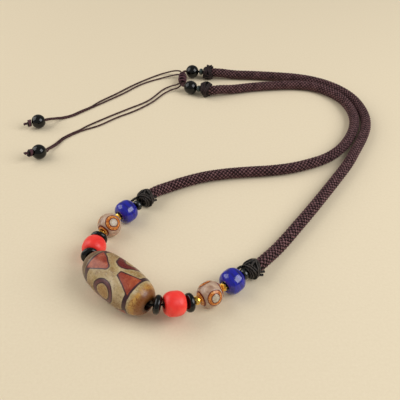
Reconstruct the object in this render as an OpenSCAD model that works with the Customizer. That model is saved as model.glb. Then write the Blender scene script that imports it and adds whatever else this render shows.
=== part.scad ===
// Dzi bead necklace, lying flat. One loop: a bored agate barrel at the front, the same row of beads on
// each side of it, two strands of thick braided cord, and a sliding knot with two thin tails behind.
// +X is to the right, +Y is away from the front bead, +Z is up, and the necklace rests on z = 0.

/* [Dzi bead] */
// Length of the large agate barrel
dzi_l = 33; // [32:0.2:33.2]
// Largest diameter of the agate barrel
dzi_d = 16.4; // [15.8:0.2:16.6]
// Diameter of its bore
dzi_bore = 3.0; // [2.4:0.1:3.6]

/* [Small beads] */
// Thickness of the black discs
disc_l = 2.9; // [2.6:0.1:3]
// Diameter of the black discs
disc_d = 7.3; // [7:0.1:7.5]
// Length of the red barrels
coral_l = 7.9; // [7.6:0.1:8]
// Diameter of the red barrels
coral_d = 9.5; // [9:0.1:9.7]
// Thickness of the gold seeds
seed_l = 2; // [1.8:0.1:2]
// Diameter of the gold seeds
seed_d = 3.3; // [3:0.1:3.4]
// Diameter of the round etched beads
eye_d = 10.2; // [9.6:0.1:10.2]
// Length of the blue barrels
blue_l = 7.9; // [7.6:0.1:8]
// Diameter of the blue barrels
blue_d = 10; // [9.7:0.1:10.2]
// Thickness of the small black spacers
spacer_l = 2.6; // [2.4:0.1:2.8]
// Diameter of the small black spacers
spacer_d = 4.6; // [4:0.1:5]
// Diameter of the two round black beads at the rear
round_d = 7.9; // [7.6:0.1:8]
// Diameter of the two round black beads on the tails
end_d = 7.5; // [7.3:0.1:7.6]

/* [Cord] */
// Diameter of the thick braided cord
cord_d = 5.3; // [5:0.1:5.4]
// Diameter of the wound knots on the ends of the thick cord
knot_d = 8.2; // [8:0.1:8.4]
// Length of the wound knots
knot_l = 5.3; // [5.1:0.1:5.5]
// Diameter of the thin tail threads
thread_d = 0.9; // [0.8:0.05:0.95]
// Diameter of the thread that carries the front beads
string_d = 1; // [0.8:0.1:1]
// Length of the sliding knot
slider_l = 9; // [8:0.2:9]
// Diameter of the sliding knot
slider_d = 4.8; // [4.4:0.1:4.9]

/* [Hidden] */

// Where the layout's own zero, close to the middle of the agate barrel, lies in the part's frame.
shift = [-19.6, -79.7, 0];

// The kinds of piece on a row of beads.
DISC = 0; CORAL = 1; SEED = 2; EYE = 3; BLUE = 4; SPACER = 5; KNOT = 6; RSPACER = 7; RBEAD = 8;
// One row for each kind: length, radius, radius of the flat end face, radius of the bore, and how square
// the profile is (2 is a ball, 3 a drum).
KIND = [
    [disc_l, disc_d / 2, 2.0, 1.25, 2.6],
    [coral_l, coral_d / 2, 2.9, 1.1, 2.7],
    [seed_l, seed_d / 2, 1.1, 0.85, 3.0],
    [2 * sqrt(pow(eye_d / 2, 2) - 3.24), eye_d / 2, 1.8, 1.0, 2],
    [blue_l, blue_d / 2, 2.8, 1.2, 2.7],
    [spacer_l, spacer_d / 2, 1.4, 1.05, 2.3],
    [knot_l, knot_d / 2, 2.2, 0.85, 2.8],
    [2.2, 1.9, 1.3, 1.05, 2.3],
    [2 * sqrt(pow(round_d / 2, 2) - 1.44), round_d / 2, 1.2, 0.95, 2]];

// The rows of beads, outwards from the agate barrel's ends, then outwards from the cords' rear ends.
// Columns: kind, gap before it, heading on the surface (degrees from +X), rise (degrees), height of its middle.
RIGHT = [
    [DISC, 1.8, -6, -10, 9.2],
    [CORAL, 0.9, 16, -10, 8.4],
    [DISC, 0.3, 24, -12, 6.8],
    [SEED, 0.75, 46, -10, 5.8],
    [EYE, 0.4, 33, 0, eye_d / 2],
    [SEED, 0.5, 34, 0, 5.1],
    [BLUE, -0.35, 43, 0, blue_d / 2],
    [SPACER, 1, 37, -3, 4.2],
    [KNOT, 0.2, 37, 0, knot_d / 2]];
LEFT = [
    [DISC, 1.8, 100, -14, 7.3],
    [CORAL, 0.9, 79, -10, 5.9],
    [DISC, 0.35, 82, -6, 5.1],
    [SEED, 0.4, 72, 0, 5.1],
    [EYE, 0.35, 59, 0, eye_d / 2],
    [SEED, 0.25, 52, 0, 5.1],
    [BLUE, -0.3, 48, 0, blue_d / 2],
    [SPACER, 1.4, 50, -2, 4.2],
    [KNOT, 1.8, 55, 0, knot_d / 2]];
REAR_RIGHT = [
    [KNOT, 0, 172, 0, knot_d / 2],
    [RSPACER, 0.6, 174, 0, 4.1],
    [RBEAD, 0.6, 176, 0, round_d / 2]];
REAR_LEFT = [
    [KNOT, 0, 168, 0, knot_d / 2],
    [RSPACER, 0.4, 162, 0, 4.1],
    [RBEAD, 0.4, 158, 0, round_d / 2]];
dzi_heading = -42;
dzi_at = [0.4, -0.7];
rear_right_start = [38.9, 170];
rear_left_start = [37.3, 148.6];

// The routes of the cords on the surface. Columns: x, y, height.
CORD_RIGHT = [
    [58.4, 15.6, 3.6], [62.2, 20.2, 2.9], [68, 27.6, 2.8], [74, 35.8, 2.8], [81, 45.4, 2.8], [89, 56.8, 2.8],
    [97.4, 69, 2.8], [104.4, 79.6, 2.8], [110.6, 90.8, 2.8], [116.2, 101.4, 2.8], [120.4, 111.8, 2.8],
    [122.2, 121.4, 2.8], [121.8, 131, 2.8], [119.4, 141, 2.8], [114.8, 149.4, 2.8], [108, 156.6, 2.8],
    [99.4, 162, 2.8], [89.4, 165.4, 2.8], [77, 167.4, 2.8], [64, 168.8, 2.8], [52, 169.4, 3],
    [44.6, 169.8, 3.8]];
CORD_LEFT = [
    [11.6, 57.8, 3.6], [15.6, 60.9, 2.9], [23, 64.9, 2.8], [32.4, 68.8, 2.8], [42.4, 71.3, 2.8],
    [53.6, 72.9, 2.8], [65, 74, 2.8], [76, 76.1, 2.8], [86, 79.7, 2.8], [94.8, 84.3, 2.8],
    [103, 91.8, 2.8], [109.4, 101.3, 2.8], [113.7, 110.9, 2.8], [115.9, 120.4, 2.8], [115.8, 130, 2.8],
    [113, 140.4, 2.8], [107, 148.8, 2.8], [98.6, 154.8, 2.8], [88, 156.8, 2.8], [75.4, 156.2, 2.8],
    [62, 154.3, 2.8], [50.4, 151.5, 3], [43.4, 149.8, 3.8]];
REAR_THREAD_RIGHT = [
    [21.9, 171.6, 4], [21.3, 171.1, 3.9], [21.1, 170, 3.8], [21.3, 168.3, 3.6]];
REAR_THREAD_LEFT = [
    [21.6, 153.8, 4], [20.9, 154.5, 3.9], [20.9, 156, 3.8], [21.3, 158.4, 3.6]];
TAIL_UPPER_A = [
    [19.9, 168.3, 4.2], [19.5, 170.6, 4.2], [18, 172.9, 3.6], [14.8, 174.6, 2.6], [10, 174.6, 1.4],
    [5, 173, 0.6], [-8.4, 161.5, 0.5], [-18.1, 150.8, 0.5], [-27, 141.6, 0.5], [-31.2, 136, 0.5]];
TAIL_UPPER_B = [
    [19.9, 168.3, 3], [19, 169.5, 2.8], [16.8, 170.6, 2.2], [12, 170.4, 1.2], [6.7, 168.8, 0.6],
    [-4, 162, 0.5], [-15, 150.1, 0.5], [-23.4, 142, 0.5], [-30.4, 135.4, 0.5]];
TAIL_UPPER_END = [
    [-35.6, 131.3, 0.5], [-40.2, 127, 0.5], [-44.4, 124.6, 0.6], [-48.1, 122.5, 1.4], [-50.9, 119.6, 2.9]];
TAIL_LOWER_A = [
    [19.9, 158.4, 4.2], [19.1, 157.3, 4], [17.4, 157, 3], [14, 157.7, 1.6], [10, 156.2, 0.6],
    [1, 142.6, 0.5], [-9.6, 133.8, 0.5], [-19.5, 125.8, 0.5], [-30.6, 116, 0.5], [-33.6, 112.6, 0.5]];
TAIL_LOWER_B = [
    [19.9, 158.4, 3], [19.3, 155.9, 2.6], [17.6, 154.6, 2], [14.6, 154.1, 1.2], [10.7, 151.6, 0.6],
    [3.2, 140.7, 0.5], [-5.6, 131.8, 0.5], [-15, 124.8, 0.5], [-24, 116.8, 0.5], [-33, 111.4, 0.5]];
TAIL_LOWER_END = [
    [-37.8, 108.1, 0.5], [-41.2, 104.4, 0.5], [-43, 100.8, 0.6], [-44.3, 98, 0.9], [-45.8, 95.2, 1.3], [-46.9, 92.6, 2]];
// The beads at the tails' ends. Columns: x, y, heading and rise of the bore away from the tail.
END_UPPER = [-56.3, 115.9, 202, 0];
END_LOWER = [-49.9, 88.1, 220, 18];

function dir(yaw, rise = 0) = [cos(yaw) * cos(rise), sin(yaw) * cos(rise), sin(rise)];
function flat(yaw) = [cos(yaw), sin(yaw)];
// Distance run along a row up to item i's near face, as a point on the surface.
function face(row, i, start) = i == 0
    ? start + row[0][1] * flat(row[0][2])
    : face(row, i - 1, start) + KIND[row[i - 1][0]][0] * flat(row[i - 1][2])
        + row[i][1] * flat((row[i - 1][2] + row[i][2]) / 2);
function middle(row, i, start) =
    let (p = face(row, i, start) + KIND[row[i][0]][0] / 2 * flat(row[i][2])) [p[0], p[1], row[i][4]];
// The point at share s of item i's axis, from -1 at its near face to 1 at its far face.
function on_axis(row, i, start, s) =
    middle(row, i, start) + s * KIND[row[i][0]][0] / 2 * dir(row[i][2], row[i][3]);

right_start = dzi_at + dzi_l / 2 * flat(dzi_heading);
left_start = dzi_at - dzi_l / 2 * flat(dzi_heading);
socket = 1.5; // how far a cord end goes into its knot

// Profile of a lathe-turned piece, half length h and radius r at its middle, cut to a flat face.
function turned(h, r, face_r, sq, n = 9) =
    let (t0 = asin(pow(face_r / r, sq / 2)), k = h / pow(cos(t0), 2 / sq))
    [for (i = [0:n]) let (t = t0 + (180 - 2 * t0) * i / n, c = cos(t))
        [r * pow(sin(t), 2 / sq), -k * sign(c) * pow(abs(c), 2 / sq)]];

module bead(len, r, face_r, bore_r, sq, mouth = 0) {
    rotate_extrude()
        polygon(concat(
            turned(len / 2, r, face_r, sq, r > 6 ? 14 : 9),
            mouth > 0
                ? [[mouth, len / 2], [bore_r, len / 2 - 0.9], [bore_r, 0.9 - len / 2], [mouth, -len / 2]]
                : [[bore_r, len / 2], [bore_r, -len / 2]]));
}

// Turns a piece made along +Z so that it lies along a heading, with a rise, at a point.
module lay(p, yaw, rise = 0) {
    translate(p) rotate([0, -rise, yaw]) rotate([0, 90, 0]) children();
}

module row_bead(row, i, start, mouth = 0) {
    k = KIND[row[i][0]];
    translate(shift) lay(middle(row, i, start), row[i][2], row[i][3])
        bead(k[0], k[1], k[2], k[3], k[4], mouth);
}

// A knot wound round the end of the thick cord: near side bored for the thread, far side open for the cord.
module wound_knot(row, i, start, cord_side) {
    k = KIND[KNOT];
    h = k[0] / 2;
    translate(shift) lay(middle(row, i, start), row[i][2], row[i][3])
        mirror([0, 0, cord_side > 0 ? 0 : 1])
            rotate_extrude()
                polygon(concat(
                    turned(h, k[1], 3.3, k[4]),
                    [[cord_d / 2 + 0.2, h], [cord_d / 2 + 0.2, h - socket - 0.2], [0, h - socket - 0.2],
                     [0, 1.2 - h], [k[3], 1.2 - h], [k[3], -h]]));
}

function unit(v) = v / norm(v);
function along(path, i) =
    unit(path[min(i + 1, len(path) - 1)] - path[max(i - 1, 0)]);
function side(t) = unit([t[1], -t[0], 0]);

// A tube of n flats swept along a path, one ring to each point.
module tube(path, d, n = 8) {
    m = len(path);
    pts = [for (i = [0:m - 1]) let (t = along(path, i), s = side(t), u = cross(s, t))
        for (k = [0:n - 1]) let (a = (k + 0.5) * 360 / n) path[i] + d / 2 * (cos(a) * s + sin(a) * u)];
    faces = concat(
        [[for (k = [0:n - 1]) k]],
        [for (i = [0:m - 2]) for (k = [0:n - 1]) let (q = (k + 1) % n)
            [i * n + k, (i + 1) * n + k, (i + 1) * n + q, i * n + q]],
        [[for (k = [n - 1:-1:0]) (m - 1) * n + k]]);
    polyhedron(pts, faces);
}

// The same path, moved sideways by a distance: two threads that lie beside each other.
function beside(path, w) =
    [for (i = [0:len(path) - 1]) path[i] + w * side(along(path, i))];

module dzi_bead() {
    color("tan") translate(shift) lay([dzi_at[0], dzi_at[1], dzi_d / 2], dzi_heading)
        bead(dzi_l, dzi_d / 2, 2.6, dzi_bore / 2, 2.75, 2.1);
}

module disc(row, i, start) { color("black") row_bead(row, i, start); }
module coral_bead(row, i, start) { color("orangered") row_bead(row, i, start); }
module gold_seed(row, i, start) { color("goldenrod") row_bead(row, i, start); }
module eye_bead(row, i, start) { color("rosybrown") row_bead(row, i, start, 1.35); }
module blue_bead(row, i, start) { color("mediumblue") row_bead(row, i, start, 2.2); }
module spacer(row, i, start) { color("black") row_bead(row, i, start); }
module round_bead(row, i, start) { color("black") row_bead(row, i, start); }

// The thread through the front beads, straight in each bore, from one front knot to the other.
function string_side(row, start) = concat(
    [for (i = [0:7]) each (row[i][0] == DISC || row[i][0] == SEED || row[i][0] == SPACER
        ? [on_axis(row, i, start, 0)]
        : [on_axis(row, i, start, -0.9), on_axis(row, i, start, 0.9)])],
    [on_axis(row, 8, start, -0.97), on_axis(row, 8, start, -0.72)]);
function back_to_front(path) = [for (i = [len(path) - 1:-1:0]) path[i]];
module bead_string() {
    a = dir(dzi_heading);
    mid = [dzi_at[0], dzi_at[1], dzi_d / 2];
    color("black") translate(shift)
        tube(concat(back_to_front(string_side(LEFT, left_start)),
            [mid - 0.48 * dzi_l * a, mid + 0.48 * dzi_l * a],
            string_side(RIGHT, right_start)), string_d);
}

// A strand of thick cord, from inside its front knot to inside its rear knot.
module thick_cord(row, start, route, rear_row, rear_start) {
    front = on_axis(row, 8, start, 1);
    rear = on_axis(rear_row, 0, rear_start, -1);
    a = dir(row[8][2]);
    b = dir(rear_row[0][2]);
    color([0.24, 0.15, 0.16]) translate(shift)
        tube(concat([front - socket * a, front + 0.8 * a], route, [rear - 0.8 * b, rear + socket * b]), cord_d, 10);
}

module rear_thread(route) {
    color([0.3, 0.18, 0.2]) translate(shift) tube(route, 1.6);
}

// The knot that both pairs of thin threads run through, bored along its length.
module slider_knot() {
    color([0.3, 0.18, 0.22]) translate(shift) lay([20.6, 163.35, 3.6], 90)
        bead(slider_l, slider_d / 2, 1.9, 0.5, 3);
}

// Two threads of a tail come together, lie beside each other and go through the end bead into its knot.
function to_end(e) =
    let (a = dir(e[2], e[3]), p = [e[0], e[1], end_d / 2]) [p - 4.1 * a, p + 3.5 * a];
module tail(route, last, e, w) {
    color([0.3, 0.18, 0.2]) translate(shift)
        tube(concat(route, beside(concat(last, to_end(e)), w)), thread_d);
}

module end_bead(e) {
    color("black") translate(shift) lay([e[0], e[1], end_d / 2], e[2], e[3])
        bead(2 * sqrt(pow(end_d / 2, 2) - 2.56), end_d / 2, 1.6, 1.3, 2);
}

// The small stopper knot past an end bead.
module end_knot(e) {
    color([0.25, 0.15, 0.17]) translate(shift)
        lay([e[0], e[1], end_d / 2] + (end_d / 2 + 1.25) * dir(e[2], e[3]), e[2], e[3])
            rotate_extrude()
                polygon([[0, -1.2], [1.2, -1.2], [1.6, -0.6], [1.6, 0.2], [1.1, 0.9], [0.6, 1.3], [0.5, 2.2], [0, 2.2]]);
}

dzi_bead();
disc(RIGHT, 0, right_start);  // disc_right_inner
disc(RIGHT, 2, right_start);  // disc_right_outer
disc(LEFT, 0, left_start);  // disc_left_inner
disc(LEFT, 2, left_start);  // disc_left_outer
coral_bead(RIGHT, 1, right_start);  // coral_right
coral_bead(LEFT, 1, left_start);  // coral_left
gold_seed(RIGHT, 3, right_start);  // seed_right_inner
gold_seed(RIGHT, 5, right_start);  // seed_right_outer
gold_seed(LEFT, 3, left_start);  // seed_left_inner
gold_seed(LEFT, 5, left_start);  // seed_left_outer
eye_bead(RIGHT, 4, right_start);  // eye_bead_right
eye_bead(LEFT, 4, left_start);  // eye_bead_left
blue_bead(RIGHT, 6, right_start);  // blue_bead_right
blue_bead(LEFT, 6, left_start);  // blue_bead_left
spacer(RIGHT, 7, right_start);  // spacer_right
spacer(LEFT, 7, left_start);  // spacer_left
color("black") wound_knot(RIGHT, 8, right_start, 1);  // knot_right
color("black") wound_knot(LEFT, 8, left_start, 1);  // knot_left
bead_string();
thick_cord(RIGHT, right_start, CORD_RIGHT, REAR_RIGHT, rear_right_start);  // cord_right
thick_cord(LEFT, left_start, CORD_LEFT, REAR_LEFT, rear_left_start);  // cord_left
color("black") wound_knot(REAR_RIGHT, 0, rear_right_start, -1);  // rear_knot_right
color("black") wound_knot(REAR_LEFT, 0, rear_left_start, -1);  // rear_knot_left
spacer(REAR_RIGHT, 1, rear_right_start);  // rear_spacer_right
spacer(REAR_LEFT, 1, rear_left_start);  // rear_spacer_left
round_bead(REAR_RIGHT, 2, rear_right_start);  // rear_bead_right
round_bead(REAR_LEFT, 2, rear_left_start);  // rear_bead_left
rear_thread(REAR_THREAD_RIGHT);  // rear_thread_right
rear_thread(REAR_THREAD_LEFT);  // rear_thread_left
slider_knot();
tail(TAIL_UPPER_A, TAIL_UPPER_END, END_UPPER, 0.55);  // tail_upper_a
tail(TAIL_UPPER_B, TAIL_UPPER_END, END_UPPER, -0.55);  // tail_upper_b
tail(TAIL_LOWER_A, TAIL_LOWER_END, END_LOWER, 0.55);  // tail_lower_a
tail(TAIL_LOWER_B, TAIL_LOWER_END, END_LOWER, -0.55);  // tail_lower_b
end_bead(END_UPPER);  // end_bead_upper
end_bead(END_LOWER);  // end_bead_lower
end_knot(END_UPPER);  // end_knot_upper
end_knot(END_LOWER);  // end_knot_lower
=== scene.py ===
import math

import bpy
import numpy as np
from mathutils import Matrix, Vector, noise


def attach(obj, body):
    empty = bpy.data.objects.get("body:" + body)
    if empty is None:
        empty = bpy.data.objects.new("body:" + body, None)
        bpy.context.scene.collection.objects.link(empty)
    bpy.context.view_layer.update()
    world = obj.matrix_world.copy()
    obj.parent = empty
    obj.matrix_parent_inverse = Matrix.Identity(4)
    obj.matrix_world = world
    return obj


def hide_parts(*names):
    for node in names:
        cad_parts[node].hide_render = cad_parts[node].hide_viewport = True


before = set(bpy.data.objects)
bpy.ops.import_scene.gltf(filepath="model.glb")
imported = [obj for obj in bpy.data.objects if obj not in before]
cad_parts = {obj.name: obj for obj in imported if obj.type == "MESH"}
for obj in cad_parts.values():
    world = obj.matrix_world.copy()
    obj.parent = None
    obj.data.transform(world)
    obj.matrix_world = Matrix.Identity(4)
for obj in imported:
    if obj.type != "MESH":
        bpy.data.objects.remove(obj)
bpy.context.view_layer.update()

MM = 0.001  # the tables below are in millimetres, and every mesh is made in metres
pi = math.pi
scene = bpy.context.scene
scene.view_settings.view_transform = "Standard"
scene.view_settings.look = "None"

# ---------------------------------------------------------------- camera

cam = bpy.data.objects.new("camera", bpy.data.cameras.new("camera"))
scene.collection.objects.link(cam)
scene.camera = cam
cam.data.lens = 49.35
cam.data.sensor_width = 36
cam.data.clip_start = 0.01
cam.data.clip_end = 20
cam.location = (0.0117, -0.2154, 0.168)
cam.rotation_euler = (math.radians(90 - 41.3), 0, 0)

# ---------------------------------------------------------------- the layout, as in the part's source

SHIFT = np.array([-19.6, -79.7, 0.0])
DISC, CORAL, SEED, EYE, BLUE, SPACER, KNOT, RSPACER, RBEAD = range(9)
KIND = [  # length, radius, radius of the end face, radius of the bore, squareness, radius of the bore's mouth
    (2.9, 3.65, 2.0, 1.25, 2.6, 0),
    (7.9, 4.75, 2.9, 1.1, 2.7, 0),
    (2.0, 1.65, 1.1, 0.85, 3.0, 0),
    (2 * math.sqrt(5.1 ** 2 - 3.24), 5.1, 1.8, 1.0, 2, 1.35),
    (7.9, 5.0, 2.8, 1.2, 2.7, 2.2),
    (2.6, 2.3, 1.4, 1.05, 2.3, 0),
    (5.3, 4.1, 2.2, 0.85, 2.8, 0),
    (2.2, 1.9, 1.3, 1.05, 2.3, 0),
    (2 * math.sqrt(3.95 ** 2 - 1.44), 3.95, 1.2, 0.95, 2, 0),
]
# kind, gap before it, heading, rise, height of its middle
RIGHT = [(DISC, 1.8, -6, -10, 9.2), (CORAL, 0.9, 16, -10, 8.4), (DISC, 0.3, 24, -12, 6.8), (SEED, 0.75, 46, -10, 5.8),
         (EYE, 0.4, 33, 0, 5.1), (SEED, 0.5, 34, 0, 5.1), (BLUE, -0.35, 43, 0, 5.0), (SPACER, 1, 37, -3, 4.2),
         (KNOT, 0.2, 37, 0, 4.1)]
LEFT = [(DISC, 1.8, 100, -14, 7.3), (CORAL, 0.9, 79, -10, 5.9), (DISC, 0.35, 82, -6, 5.1), (SEED, 0.4, 72, 0, 5.1),
        (EYE, 0.35, 59, 0, 5.1), (SEED, 0.25, 52, 0, 5.1), (BLUE, -0.3, 48, 0, 5.0), (SPACER, 1.4, 50, -2, 4.2),
        (KNOT, 1.8, 55, 0, 4.1)]
REAR_RIGHT = [(KNOT, 0, 172, 0, 4.1), (RSPACER, 0.6, 174, 0, 4.1), (RBEAD, 0.6, 176, 0, 3.95)]
REAR_LEFT = [(KNOT, 0, 168, 0, 4.1), (RSPACER, 0.4, 162, 0, 4.1), (RBEAD, 0.4, 158, 0, 3.95)]
DZI_L, DZI_R, DZI_HEADING, DZI_AT = 33, 8.2, -42, (0.4, -0.7)
SOCKET = 1.5

CORD_RIGHT = [
    (58.4, 15.6, 3.6), (62.2, 20.2, 2.9), (68, 27.6, 2.8), (74, 35.8, 2.8), (81, 45.4, 2.8), (89, 56.8, 2.8),
    (97.4, 69, 2.8), (104.4, 79.6, 2.8), (110.6, 90.8, 2.8), (116.2, 101.4, 2.8), (120.4, 111.8, 2.8),
    (122.2, 121.4, 2.8), (121.8, 131, 2.8), (119.4, 141, 2.8), (114.8, 149.4, 2.8), (108, 156.6, 2.8),
    (99.4, 162, 2.8), (89.4, 165.4, 2.8), (77, 167.4, 2.8), (64, 168.8, 2.8), (52, 169.4, 3), (44.6, 169.8, 3.8)]
CORD_LEFT = [
    (11.6, 57.8, 3.6), (15.6, 60.9, 2.9), (23, 64.9, 2.8), (32.4, 68.8, 2.8), (42.4, 71.3, 2.8), (53.6, 72.9, 2.8),
    (65, 74, 2.8), (76, 76.1, 2.8), (86, 79.7, 2.8), (94.8, 84.3, 2.8), (103, 91.8, 2.8), (109.4, 101.3, 2.8),
    (113.7, 110.9, 2.8), (115.9, 120.4, 2.8), (115.8, 130, 2.8), (113, 140.4, 2.8), (107, 148.8, 2.8),
    (98.6, 154.8, 2.8), (88, 156.8, 2.8), (75.4, 156.2, 2.8), (62, 154.3, 2.8), (50.4, 151.5, 3), (43.4, 149.8, 3.8)]
REAR_THREAD_RIGHT = [(21.9, 171.6, 4), (21.3, 171.1, 3.9), (21.1, 170, 3.8), (21.3, 168.3, 3.6)]
REAR_THREAD_LEFT = [(21.6, 153.8, 4), (20.9, 154.5, 3.9), (20.9, 156, 3.8), (21.3, 158.4, 3.6)]
TAIL_UPPER_A = [(19.9, 168.3, 4.2), (19.5, 170.6, 4.2), (18, 172.9, 3.6), (14.8, 174.6, 2.6), (10, 174.6, 1.4),
                (5, 173, 0.6), (-8.4, 161.5, 0.5), (-18.1, 150.8, 0.5), (-27, 141.6, 0.5), (-31.2, 136, 0.5)]
TAIL_UPPER_B = [(19.9, 168.3, 3), (19, 169.5, 2.8), (16.8, 170.6, 2.2), (12, 170.4, 1.2), (6.7, 168.8, 0.6),
                (-4, 162, 0.5), (-15, 150.1, 0.5), (-23.4, 142, 0.5), (-30.4, 135.4, 0.5)]
TAIL_UPPER_END = [(-35.6, 131.3, 0.5), (-40.2, 127, 0.5), (-44.4, 124.6, 0.6), (-48.1, 122.5, 1.4), (-50.9, 119.6, 2.9)]
TAIL_LOWER_A = [(19.9, 158.4, 4.2), (19.1, 157.3, 4), (17.4, 157, 3), (14, 157.7, 1.6), (10, 156.2, 0.6),
                (1, 142.6, 0.5), (-9.6, 133.8, 0.5), (-19.5, 125.8, 0.5), (-30.6, 116, 0.5), (-33.6, 112.6, 0.5)]
TAIL_LOWER_B = [(19.9, 158.4, 3), (19.3, 155.9, 2.6), (17.6, 154.6, 2), (14.6, 154.1, 1.2), (10.7, 151.6, 0.6),
                (3.2, 140.7, 0.5), (-5.6, 131.8, 0.5), (-15, 124.8, 0.5), (-24, 116.8, 0.5), (-33, 111.4, 0.5)]
TAIL_LOWER_END = [(-37.8, 108.1, 0.5), (-41.2, 104.4, 0.5), (-43, 100.8, 0.6), (-44.3, 98, 0.9), (-45.8, 95.2, 1.3), (-46.9, 92.6, 2)]
END_UPPER = (-56.3, 115.9, 202, 0)
END_LOWER = (-49.9, 88.1, 220, 18)
END_R = 3.75


def flat(yaw):
    a = math.radians(yaw)
    return np.array([math.cos(a), math.sin(a)])


def direction(yaw, rise=0):
    a, r = math.radians(yaw), math.radians(rise)
    return np.array([math.cos(a) * math.cos(r), math.sin(a) * math.cos(r), math.sin(r)])


def place_row(row, start):
    """[(kind, middle in the part's frame, yaw, rise, length)] for a row of beads, outwards from start."""
    out, p, before = [], np.array(start, float), None
    for kind, gap, yaw, rise, z in row:
        p = p + gap * flat(yaw if before is None else (yaw + before) / 2)
        length = KIND[kind][0]
        middle = p + length / 2 * flat(yaw)
        out.append((kind, np.array([middle[0], middle[1], z]) + SHIFT, yaw, rise, length))
        p = p + length * flat(yaw)
        before = yaw
    return out


def on_axis(item, s):
    kind, middle, yaw, rise, length = item
    return middle + s * length / 2 * direction(yaw, rise)


half = DZI_L / 2 * flat(DZI_HEADING)
row_right = place_row(RIGHT, np.array(DZI_AT) + half)
row_left = place_row(LEFT, np.array(DZI_AT) - half)
rear_right = place_row(REAR_RIGHT, (38.9, 170))
rear_left = place_row(REAR_LEFT, (37.3, 148.6))
dzi_middle = np.array([DZI_AT[0], DZI_AT[1], DZI_R]) + SHIFT


def pose_of(middle, yaw, rise=0.0, roll=0.0):
    """A piece made along its own X axis, laid along a heading with a rise, at a point in millimetres."""
    return (Matrix.Translation(Vector(np.array(middle) * MM)) @ Matrix.Rotation(math.radians(yaw), 4, "Z")
            @ Matrix.Rotation(math.radians(-rise), 4, "Y") @ Matrix.Rotation(math.radians(roll), 4, "X"))


# ---------------------------------------------------------------- mesh tools


def unit(v):
    v = np.asarray(v, float)
    return v / np.maximum(np.linalg.norm(v, axis=-1, keepdims=True), 1e-12)


def spaced(line, step=None, count=None):
    line = np.asarray(line, float)
    run = np.concatenate([[0], np.cumsum(np.linalg.norm(np.diff(line, axis=0), axis=1))])
    n = count or max(2, int(round(run[-1] / step)) + 1)
    at = np.linspace(0, run[-1], n)
    return np.stack([np.interp(at, run, line[:, k]) for k in range(line.shape[1])], axis=1)


def smooth(points, step):
    """One smooth curve through the points (centripetal Catmull-Rom), resampled evenly."""
    p = np.asarray(points, float)
    p = np.concatenate([[2 * p[0] - p[1]], p, [2 * p[-1] - p[-2]]])
    out = []
    for i in range(1, len(p) - 2):
        a, b, c, d = p[i - 1], p[i], p[i + 1], p[i + 2]
        t = np.concatenate([[0], np.cumsum([max(np.linalg.norm(y - x), 1e-6) ** 0.5 for x, y in ((a, b), (b, c), (c, d))])])
        s = np.linspace(t[1], t[2], 24, endpoint=False)[:, None]
        a1 = (t[1] - s) / (t[1] - t[0]) * a + (s - t[0]) / (t[1] - t[0]) * b
        a2 = (t[2] - s) / (t[2] - t[1]) * b + (s - t[1]) / (t[2] - t[1]) * c
        a3 = (t[3] - s) / (t[3] - t[2]) * c + (s - t[2]) / (t[3] - t[2]) * d
        b1 = (t[2] - s) / (t[2] - t[0]) * a1 + (s - t[0]) / (t[2] - t[0]) * a2
        b2 = (t[3] - s) / (t[3] - t[1]) * a2 + (s - t[1]) / (t[3] - t[1]) * a3
        out.append((t[2] - s) / (t[2] - t[1]) * b1 + (s - t[1]) / (t[2] - t[1]) * b2)
    out.append(p[-2][None])
    return spaced(np.concatenate(out), step)


def carried(path):
    """A normal at each point of a path, carried along it without twisting."""
    t = unit(np.gradient(path, axis=0))
    n = np.cross(t[0], [0.0, 0.0, 1.0])
    if np.linalg.norm(n) < 1e-3:
        n = np.cross(t[0], [0.0, 1.0, 0.0])
    out = []
    for d in t:
        n = n - n.dot(d) * d
        n = n / np.linalg.norm(n)
        out.append(n)
    return np.array(out)


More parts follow.
